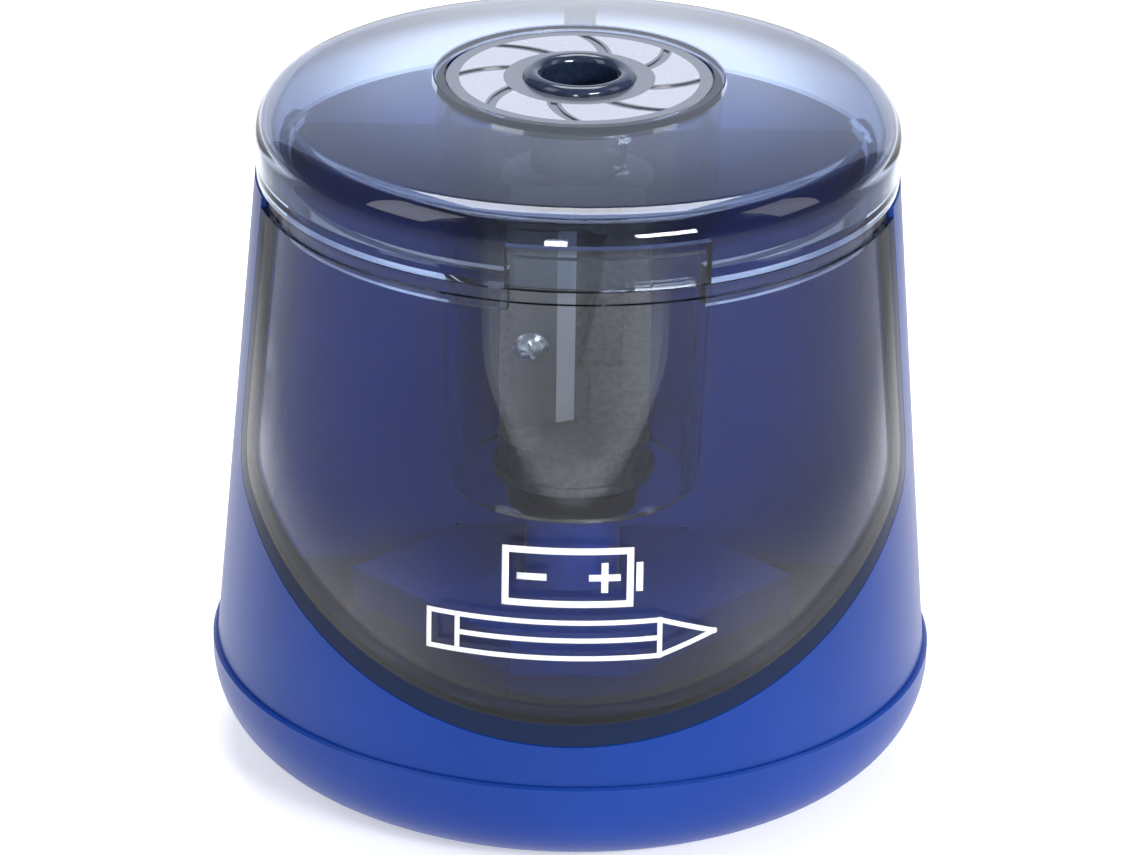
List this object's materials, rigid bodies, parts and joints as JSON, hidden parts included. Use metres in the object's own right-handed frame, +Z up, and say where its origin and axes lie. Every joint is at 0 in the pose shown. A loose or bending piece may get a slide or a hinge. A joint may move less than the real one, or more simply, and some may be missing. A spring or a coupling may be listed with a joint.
{
  "type": "battery pencil sharpener",
  "caption": "Round battery pencil sharpener with a clear lid and window, a motor-driven cutter, gears, cells and a sliding battery cover.",
  "frame": {"origin": "on the cutter's axis, at the underside of the rubber feet", "axes": "+Z up along the pencil hole; the window faces -Y; +X to the right seen from the front"},
  "size_m": [0.0802, 0.0802, 0.0786],
  "materials": {
    "blue_plastic": "satin",
    "smoke_plastic": "clear gloss",
    "grey_plastic": "satin",
    "black_plastic": "satin",
    "white_plastic": "satin",
    "rubber": "matt",
    "steel": "satin",
    "dark_steel": "satin",
    "brass": "satin",
    "cell_jacket": "gloss",
    "red_insulation": "satin",
    "black_insulation": "satin"
  },
  "bodies": {
    "root": {"base_shell": "blue_plastic", "rubber_feet": "rubber", "base_screws": "steel", "body_shell": "blue_plastic", "window": "smoke_plastic", "cell_left": "cell_jacket", "cell_right": "cell_jacket", "cell_contacts": "steel", "cell_spring": "steel", "gear_housing": "blue_plastic", "gearbox_plate": "black_plastic", "gearbox_screws": "steel", "idler_pin": "steel", "shaft_bush": "brass", "start_contacts": "brass", "motor_can": "steel", "motor_end_cap": "white_plastic", "motor_terminals": "brass", "switch_holder": "white_plastic", "safety_contacts": "brass", "lead_start_motor": "black_insulation", "lead_start_safety": "red_insulation", "lead_safety_cell": "red_insulation", "lead_motor_cell": "black_insulation"},
    "battery_cover": {"battery_cover": "blue_plastic", "cover_feet": "rubber", "cover_contact": "steel", "cover_spring": "steel"},
    "lid": {"lid_shell": "smoke_plastic", "lid_insert": "smoke_plastic", "guard_tube": "smoke_plastic", "badge_plate": "grey_plastic", "pencil_bush": "grey_plastic"},
    "plunger": {"thrust_cup": "white_plastic", "return_spring": "steel", "contact_bridge": "brass"},
    "cutter": {"cutter_shaft": "steel", "output_gear": "white_plastic", "dust_cap": "black_plastic", "drive_collar": "dark_steel", "cutter_body": "dark_steel", "blade": "steel", "blade_screw": "steel"},
    "idler": {"idler_gear": "white_plastic"},
    "armature": {"motor_shaft": "steel", "motor_pinion": "brass"},
    "safety_pin": {"safety_pin": "white_plastic", "safety_spring": "steel"}
  },
  "joints": [
    {"name": "lid_lift", "type": "slide", "parent": "root", "child": "lid", "axis": [0, 0, 1], "range_m": [0, 0.05]},
    {"name": "cutter_press", "type": "slide", "parent": "root", "child": "plunger", "axis": [0, 0, 1], "range_m": [-0.0015, 0], "stiffness_N_per_m": 800, "springref_m": 0.0015, "deforming": ["return_spring"]},
    {"name": "cutter_spin", "type": "hinge", "parent": "plunger", "child": "cutter", "pos_m": [0, 0, 0.034], "axis": [0, 0, 1], "continuous": true},
    {"name": "idler_spin", "type": "hinge", "parent": "root", "child": "idler", "pos_m": [0, 0.0135, 0.015], "axis": [0, 0, 1], "continuous": true},
    {"name": "motor_spin", "type": "hinge", "parent": "root", "child": "armature", "pos_m": [0, 0.0235, 0.02], "axis": [0, 0, 1], "continuous": true},
    {"name": "cover_slide", "type": "slide", "parent": "root", "child": "battery_cover", "axis": [0, 1, 0], "range_m": [0, 0.03]},
    {"name": "safety_pin_rise", "type": "slide", "parent": "root", "child": "safety_pin", "axis": [0, 0, 1], "range_m": [0, 0.0015], "deforming": ["safety_spring"]}
  ],
  "couplings": [
    {"joint": "idler_spin", "follows": "cutter_spin", "ratio": -4.4},
    {"joint": "motor_spin", "follows": "cutter_spin", "ratio": 13.2},
    {"joint": "safety_pin_rise", "follows": "lid_lift", "ratio": 0.03}
  ]
}
